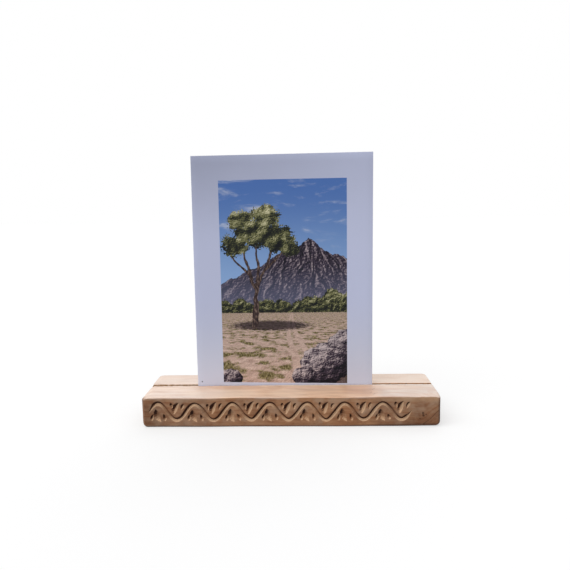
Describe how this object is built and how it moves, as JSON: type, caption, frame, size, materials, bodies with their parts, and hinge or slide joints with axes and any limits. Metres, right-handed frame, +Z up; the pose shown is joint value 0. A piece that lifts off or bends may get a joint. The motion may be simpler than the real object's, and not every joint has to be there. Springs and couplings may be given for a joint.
{
  "type": "photo block holder",
  "caption": "Hand-shaped wooden block with a saw kerf along its top that holds a postcard-size photo card upright for display; the card lifts out.",
  "frame": {"origin": "centre of the block's flat underside", "axes": "+X along the block and its kerf, +Y from the carved front to the back, +Z up, the way the card leaves the kerf"},
  "size_m": [0.1694, 0.046, 0.1538],
  "materials": {
    "block_wood": "hand-dressed bare wood, matt, with a carved front",
    "print_card": "white satin card with a printed photograph on its front"
  },
  "bodies": {
    "block": {"wood_block": "block_wood"},
    "card": {"photo_card": "print_card"}
  },
  "joints": [
    {"name": "card_lift", "type": "slide", "parent": "block", "child": "card", "axis": [0, 0, 1], "range_m": [0, 0.02]}
  ]
}
